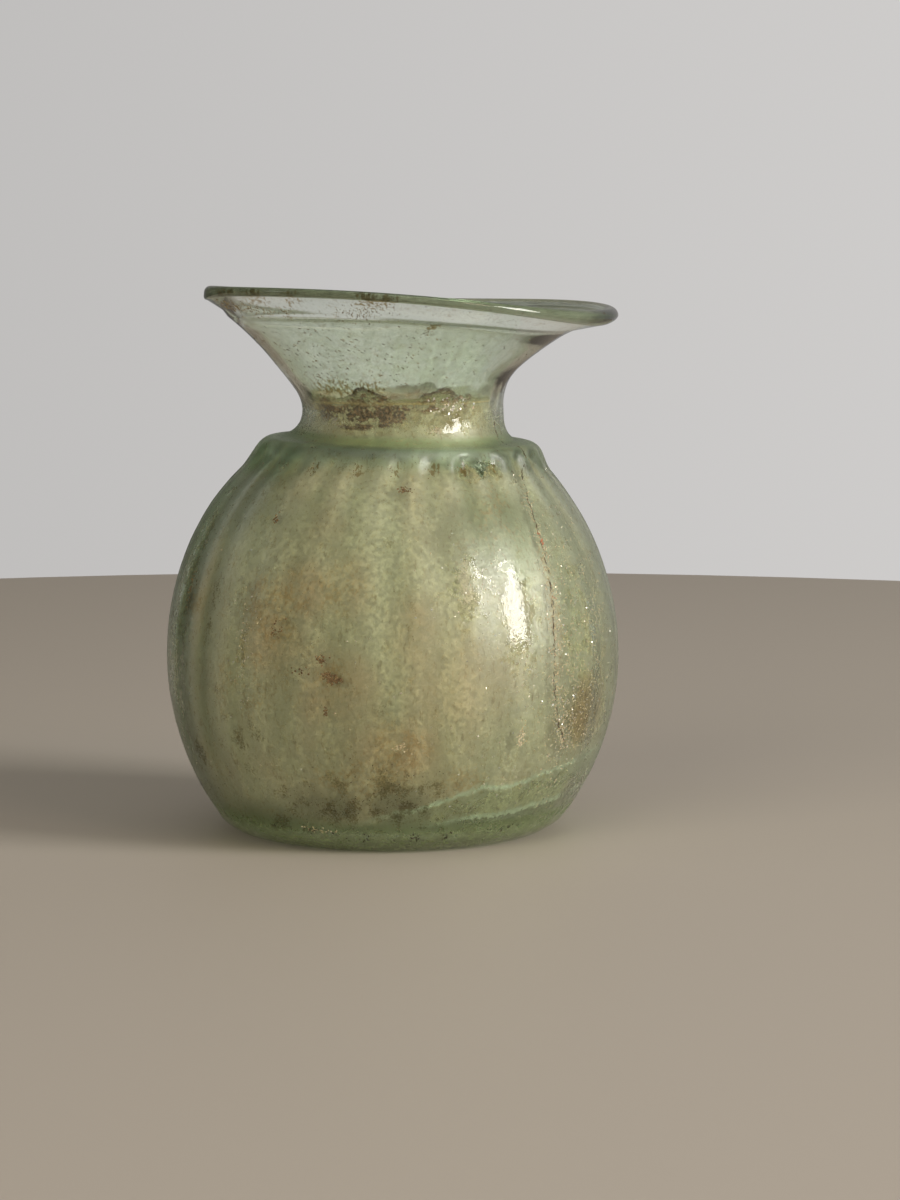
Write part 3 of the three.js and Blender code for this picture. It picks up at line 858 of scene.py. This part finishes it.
def makeCrust():
    line = offsetLine([p for p in insideLine() if crust["low"] - 1 < p.z < 84][1:], crust["gap"])

    def radiusAt(height):
        for a, b in zip(line, line[1:]):
            if b.z <= height <= a.z:
                return a.lerp(b, (a.z - height) / (a.z - b.z)).x
        return line[0].x if height > line[0].z else line[-1].x

    levels = [crust["low"] + (crust["high"] - crust["low"]) * i / 30 for i in range(31)]
    near = [spot(radiusAt(h), h) for h in levels[::-1]]
    far = [spot(radiusAt(h) - crust["thin"], h) for h in levels]
    bm, outside, _ = spinLine([(near, 0.0, 0.0), (far, 2.0, 0.0)], crust["segments"], True)
    paint(bm, "brown", lambda azimuth, height: markAt(crust["brownMarks"], azimuth, height))
    mound = bm.verts.layers.float.new("mound")
    rim = bm.verts.layers.float.new("rim")
    edge = bm.verts.layers.float.new("edge")
    for v in bm.verts:
        azimuth = azimuthOf(v.co)
        share = (v.co.z - crust["low"]) / (crust["high"] - crust["low"])
        lift = sum(tall * math.exp(-(apart(azimuth, middle) / wide) ** 2) for middle, wide, tall in crust["mounds"])
        out = Vector((v.co.x, v.co.y, 0)).normalized()
        ragged = noise.noise(out * 9) * 0.5 + noise.noise(out * 30) * 0.35
        height = v.co.z + smooth(share, 0.7, 1.0) * (lift + ragged)
        inward = 0.0
        if v[outside] > 1:
            lumps = max(0.5 + 0.5 * noise.noise(v.co / 1.7) + 0.4 * noise.noise(v.co / 0.7), 0)
            inward = crust["thin"] + lumps * crust["thick"] * smooth(share, 0, 0.25) + crust["rim"] * smooth(share, 0.85, 1)
            v[outside] = 0.0
        v[mound] = smooth(height, crust["line"], crust["line"] + 0.5)
        v[rim] = max(0.0, 1 - abs(height - crust["line"]) / crust["lineWidth"])
        v[edge] = smooth(share, 0.92, 0.97) * smooth(lift, 0.4, 1.2)
        v.co = out * (radiusAt(height) - inward) + Vector((0, 0, height))
    shapeWall(bm, outside)
    return makePiece("neck_crust", bm, crustMaterial())


makeCrust()

# Specks of soil on the outside, as flat crumbs; each mark is (azimuth, height, width, tall, how many).
soil = {
    "sides": 6, "thick": 0.07, "sunk": 0.03, "seed": 5,
    "colours": [(0.0, (0.018, 0.014, 0.008)), (0.3, (0.08, 0.045, 0.02)), (0.55, (0.21, 0.135, 0.058)),
                (0.7, (0.40, 0.30, 0.15)), (0.85, (0.60, 0.50, 0.30)), (0.95, (0.76, 0.68, 0.48)),
                (1.0, (0.50, 0.17, 0.075))],
    "kinds": {
        "spots": {"size": (0.05, 0.2), "stretch": (1, 1.8), "tone": (0.38, 0.64), "marks": [
            (-13.8, 31.8, 1.0, 0.35, 90), (-15.0, 32.7, 0.9, 0.3, 50), (-16.6, 35.2, 0.8, 0.5, 46),
            (-15.8, 26.3, 0.3, 0.5, 12), (5.2, 63.2, 1.5, 0.25, 40), (-36.8, 57.8, 0.5, 0.6, 26),
            (-66.1, 44.5, 0.7, 1.8, 40), (-29, 40, 1.2, 1.0, 26), (-22, 33, 2, 0.4, 14), (60, 25, 5, 6, 16),
            (-150, 40, 3, 3, 60), (130, 24, 2, 4, 50), (170, 52, 3, 1, 40)]},
        "foot": {"size": (0.03, 0.1), "stretch": (1, 2), "tone": (0.0, 0.4), "marks": [
            (-13, 8.6, 4, 1.4, 90), (3, 10.5, 5, 2.0, 70), (-3, 15, 7, 2.4, 50), (-25, 10, 6, 2.2, 40),
            (15, 9, 7, 2.0, 40), (-90, 9, 20, 2, 50), (150, 9, 25, 2, 70), (-150, 12, 15, 4, 60)]},
        "heel": {"size": (0.05, 0.16), "stretch": (1, 3), "tone": (0.0, 0.15), "marks": [
            (-26, 4.2, 5, 0.4, 18), (-12, 3.0, 9, 0.7, 12), (8, 3.0, 1.2, 0.6, 12), (17, 3.2, 2, 0.3, 8),
            (36, 4.0, 4, 0.4, 10), (180, 3.2, 60, 0.9, 50)]},
        "pepper": {"size": (0.02, 0.06), "stretch": (1, 2), "tone": (0.2, 0.8), "marks": [
            (-10, 38, 40, 14, 300), (-30, 42, 9, 6, 200), (-24, 33, 9, 3, 160), (-60, 38, 10, 14, 160),
            (-50, 20, 14, 8, 160), (30, 30, 14, 10, 120), (180, 38, 60, 16, 380)]},
        "pits": {"size": (0.04, 0.12), "stretch": (1, 1.8), "tone": (0.45, 0.75), "marks": [
            (azimuth, 66.3, 0.9, 0.6, 9) for azimuth in (-32, -14, 0.4, 15, 28, 42)]},
        "ochre": {"size": (0.05, 0.16), "stretch": (1, 1.8), "tone": (0.76, 0.95), "marks": [
            (34.9, 21.2, 0.6, 0.9, 84), (3.4, 20.2, 1.2, 0.6, 34), (46.5, 42, 0.8, 5, 70),
            (46, 30, 1.4, 4, 40), (-23, 4.4, 2.4, 0.3, 26)]},
        "red": {"size": (0.05, 0.18), "stretch": (1, 1.8), "tone": (1.0, 1.0), "marks": [
            (48.5, 54, 0.35, 0.8, 20), (47, 44, 0.5, 0.6, 3)]},
        "cream": {"size": (0.04, 0.12), "stretch": (1, 2.5), "tone": (0.84, 0.97), "marks": [
            (56, 38, 8, 10, 460), (50, 23, 4, 6, 320), (49, 40, 2.5, 12, 160), (40, 31, 6, 6, 90),
            (66, 52, 6, 8, 70), (24, 46, 5, 6, 60), (-39, 36, 2, 6, 30)]},
        "lip": {"size": (0.03, 0.08), "stretch": (1.5, 6), "tone": (0.4, 0.66), "upright": True, "marks": [
            (-62, 93.8, 6, 0.6, 70), (-48, 93.4, 5, 0.7, 90), (-36, 93.4, 2, 0.7, 40), (-8, 93.6, 5, 0.9, 150),
            (120, 92, 12, 0.8, 50), (-150, 94, 14, 0.8, 70)]},
        "scratches": {"size": (0.045, 0.07), "stretch": (3.5, 7), "tone": (0.2, 0.6), "slant": 0.95, "marks": [
            (-38, 85, 14, 3, 55), (-8, 84, 20, 4, 70), (25, 87, 22, 3, 40), (180, 86, 70, 3, 110)]},
        "funnel": {"size": (0.03, 0.1), "stretch": (1, 1.6), "tone": (0.2, 0.7), "marks": [
            (-45, 86, 18, 4, 90), (-10, 84, 24, 4, 80), (-35, 80, 14, 1.6, 80), (35, 86, 22, 4, 44),
            (12.5, 90, 1.4, 0.5, 26), (180, 85, 60, 3, 160)]},
    },
}
pearl = {
    "sides": 5, "thick": 0.05, "sunk": 0.02, "seed": 8, "size": (0.03, 0.13), "tilt": 0.5,
    "colours": [(0.0, (0.75, 0.68, 0.50)), (0.4, (0.62, 0.66, 0.66)), (0.7, (0.80, 0.62, 0.44)), (1.0, (0.85, 0.85, 0.80))],
    "glint": (34, 12), "marks": [
        (60, 36, 9, 10, 200, 0.8, 1.0), (50, 23, 4, 5, 150, 0.8, 1.0), (49, 40, 3, 12, 110, 0.7, 1.0),
        (40, 30, 7, 8, 70, 0.6, 1.0), (34, 38, 4, 4, 80, 0.5, 1.0), (31, 76.3, 8, 0.9, 46, 0.7, 1.8),
        (-39, 36, 2, 6, 60, 0.5, 1.0), (20, 46, 7, 5, 60, 0.5, 1.0), (30, 18, 12, 5, 60, 0.5, 1.0),
        (70, 55, 8, 8, 70, 0.9, 1.0), (-60, 50, 8, 12, 60, 0.4, 1.0), (-10, 30, 26, 10, 60, 0.3, 1.0),
        (-140, 40, 20, 12, 160, 0.0, 1.0), (150, 36, 16, 12, 160, 0.0, 1.0)],
    "metallic": 0.55, "roughness": 0.25,
}
crack = {
    "path": [(66.6, 73.4), (65.5, 71.2), (61.7, 67.0), (50.3, 60.7), (47.9, 54.1), (46.6, 47.4), (45.3, 40.7), (44.1, 30.4), (46.1, 23.3),
             (52.2, 17.4)],
    "step": 0.35, "size": (0.04, 0.13), "stretch": (2, 6), "tone": (0.0, 0.45), "gaps": 0.2, "wander": 1.2,
    "besideLow": 62, "beside": 1.0, "besideCount": 3, "besideSize": (0.04, 0.15), "besideTone": (0.78, 0.95),
}


# One flat crumb on the wall: a low cone with its top cut off, stretched and turned in its own plane. It lies in
# the wall's plane, or leans towards a direction that catches the light.
def addCrumb(bm, tone, azimuth, height, values, size, stretch, turn, shade, tilt=0.0, lean=None):
    place, normal = onWall(azimuth, height)
    if place is None:
        return
    if lean:
        normal = (normal * (1 - lean[1]) + lean[0] * lean[1]).normalized()
    up = (Vector((0, 0, 1)) - normal * normal.z).normalized()
    facing = Matrix((up.cross(normal), up, normal)).transposed().to_4x4()
    middle = place + normal * (values["thick"] / 2 - values["sunk"])
    matrix = (Matrix.Translation(middle) @ facing @ Matrix.Rotation(turn, 4, "Z")
              @ Matrix.Rotation(tilt, 4, "X") @ Matrix.Diagonal((1, stretch, 1, 1)))
    made = bmesh.ops.create_cone(bm, cap_ends=True, segments=values["sides"], radius1=size, radius2=size * 0.7,
                                 depth=values["thick"], matrix=matrix)
    for v in made["verts"]:
        v[tone] = shade


def crumbMaterial(name, values, metallic, roughness):
    material, tree, out = newMaterial(name)
    shades = addNode(tree, "ShaderNodeValToRGB", {"Fac": painted(tree, "tone")})
    ramp = shades.color_ramp
    for place, colour in values["colours"][1:-1]:
        ramp.elements.new(place)
    for element, (place, colour) in zip(ramp.elements, values["colours"]):
        element.position = place
        element.color = (*colour, 1)
    fine = pattern(tree, clouds, size=0.3, detail=2.0, low=0.2, high=0.8, seed=1.0)
    colour = blendColour(tree, maths(tree, "MULTIPLY", fine, 0.3), shades.outputs[0], (0.02, 0.015, 0.01))
    shader = addNode(tree, "ShaderNodeBsdfPrincipled", {"Base Color": colour, "Roughness": roughness,
                                                        "Metallic": metallic})
    tree.links.new(shader.outputs[0], out.inputs["Surface"])
    return material


def makeSoil():
    toss = random.Random(soil["seed"])
    whole, _ = startBatch()
    for kind in soil["kinds"].values():
        slant = kind.get("slant")
        for azimuth, height, wide, tall, count in kind["marks"]:
            bm, tone = startBatch()
            for _ in range(count):
                at = azimuth + toss.gauss(0, wide)
                level = max(height + toss.gauss(0, tall), 1.6)
                turn = toss.uniform(0, math.pi)
                if kind.get("upright"):
                    turn = toss.uniform(-0.2, 0.2)
                if slant:
                    turn = slant + toss.uniform(-0.5, 0.4)
                addCrumb(bm, tone, at, level, soil, toss.uniform(*kind["size"]), toss.uniform(*kind["stretch"]),
                         turn, toss.uniform(*kind["tone"]))
            endBatch(whole, bm)
    bm, tone = startBatch()
    for (a, low), (b, high) in zip(crack["path"], crack["path"][1:]):
        steps = max(int(math.hypot((b - a) * 0.65, high - low) / crack["step"]), 1)
        for i in range(steps):
            if toss.random() < crack["gaps"]:
                continue
            at = a + (b - a) * i / steps + toss.uniform(-0.3, 0.3) * crack["wander"]
            level = low + (high - low) * i / steps
            turn = math.atan2((b - a) * 0.65, abs(high - low)) + toss.uniform(-0.3, 0.3)
            addCrumb(bm, tone, at, level, soil, toss.uniform(*crack["size"]), toss.uniform(*crack["stretch"]),
                     turn, toss.uniform(*crack["tone"]))
            for _ in range(crack["besideCount"] if level < crack["besideLow"] else 0):
                addCrumb(bm, tone, at + toss.gauss(0, crack["beside"]), level + toss.gauss(0, 0.3), soil,
                         toss.uniform(*crack["besideSize"]), toss.uniform(1, 2), toss.uniform(0, math.pi),
                         toss.uniform(*crack["besideTone"]), toss.uniform(-1, 1) * pearl["tilt"])
    endBatch(whole, bm)
    return makePiece("outside_soil", whole, crumbMaterial("soil", soil, 0.0, 0.75), rounded=False)


def makePearl():
    toss = random.Random(pearl["seed"])
    whole, _ = startBatch()
    turn, rise = (math.radians(angle) for angle in pearl["glint"])
    glint = Vector((math.sin(turn) * math.cos(rise), -math.cos(turn) * math.cos(rise), math.sin(rise)))
    for azimuth, height, wide, tall, count, leaning, grown in pearl["marks"]:
        bm, tone = startBatch()
        for _ in range(count):
            addCrumb(bm, tone, azimuth + toss.gauss(0, wide), max(height + toss.gauss(0, tall), 2.5), pearl,
                     toss.uniform(*pearl["size"]) * grown, toss.uniform(1, 2.2), toss.uniform(0, math.pi),
                     toss.random(), toss.gauss(0, 0.4) * pearl["tilt"], (glint, toss.random() * leaning))
        endBatch(whole, bm)
    material = crumbMaterial("pearl", pearl, pearl["metallic"], pearl["roughness"])
    return makePiece("pearly_flakes", whole, material, rounded=False)


makeSoil()
makePearl()
